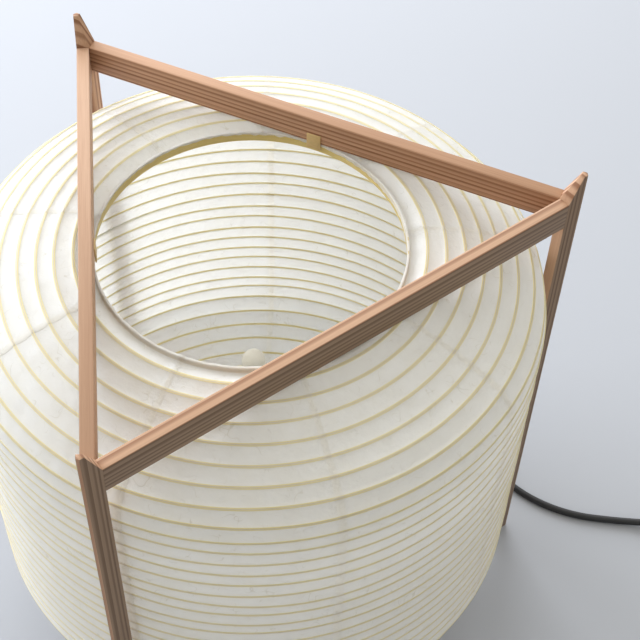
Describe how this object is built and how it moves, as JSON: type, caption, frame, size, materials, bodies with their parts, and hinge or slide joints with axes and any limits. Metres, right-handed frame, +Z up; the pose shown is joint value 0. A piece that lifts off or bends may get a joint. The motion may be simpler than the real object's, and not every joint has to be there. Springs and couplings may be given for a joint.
{
  "type": "andon floor lamp",
  "caption": "Floor lantern: paper skin on bamboo rings inside a three-legged triangular cedar frame, with a screw-in lamp, black flex, in-line switch and plug.",
  "frame": {"origin": "on the lantern's axis, on the floor that the three feet stand on", "axes": "+Z up along the lantern's axis; -Y towards the front leg; the other two legs stand back left and back right"},
  "size_m": [0.7829, 0.4818, 0.5],
  "materials": {
    "cedar": "satin",
    "bamboo": "satin",
    "washi": "matte",
    "plated_steel": "satin",
    "black_moulding": "matte",
    "contact_brass": "polished",
    "bulb_cap_metal": "satin",
    "frosted_glass": "satin",
    "flex_black": "matte",
    "black_rubber": "matte"
  },
  "bodies": {
    "lamp": {"leg_back_left": "cedar", "leg_right": "cedar", "leg_front": "cedar", "top_rail_back": "cedar", "top_rail_left": "cedar", "top_rail_right": "cedar", "bottom_rail_back": "cedar", "bottom_rail_left": "cedar", "bottom_rail_right": "cedar", "crossbar": "cedar", "top_hoop": "bamboo", "bottom_hoop": "bamboo", "top_dome_ribs": "bamboo", "wall_ribs": "bamboo", "bottom_dome_ribs": "bamboo", "shade_paper": "washi", "top_hoop_hooks": "bamboo", "bottom_hoop_hooks": "bamboo", "stem": "plated_steel", "stem_washers": "plated_steel", "stem_nuts": "plated_steel", "cord_gland": "black_moulding", "lampholder_cap": "black_moulding", "lampholder_body": "black_moulding", "lampholder_screw_shell": "plated_steel", "lampholder_contact": "contact_brass", "cord_lead": "flex_black", "cord_tail": "flex_black", "cord_end": "flex_black", "cord_coil": "flex_black", "coil_tie": "black_moulding", "switch_base": "black_moulding", "switch_cover": "black_moulding", "switch_reliefs": "black_rubber", "plug_relief": "black_rubber", "plug_body": "black_moulding", "plug_blades": "contact_brass"},
    "bulb": {"bulb_glass": "frosted_glass", "bulb_screw_cap": "bulb_cap_metal"},
    "rocker": {"switch_rocker": "black_moulding"}
  },
  "joints": [
    {"name": "bulb_screw", "type": "hinge", "parent": "lamp", "child": "bulb", "pos_m": [0, 0, 0.26], "axis": [0, 0, 1], "range_deg": [0, 1260]},
    {"name": "rocker_tilt", "type": "hinge", "parent": "lamp", "child": "rocker", "pos_m": [0.42449, 0.19711, 0.0105], "axis": [-0.165, 0.9863, 0], "range_deg": [-16, 0]}
  ]
}
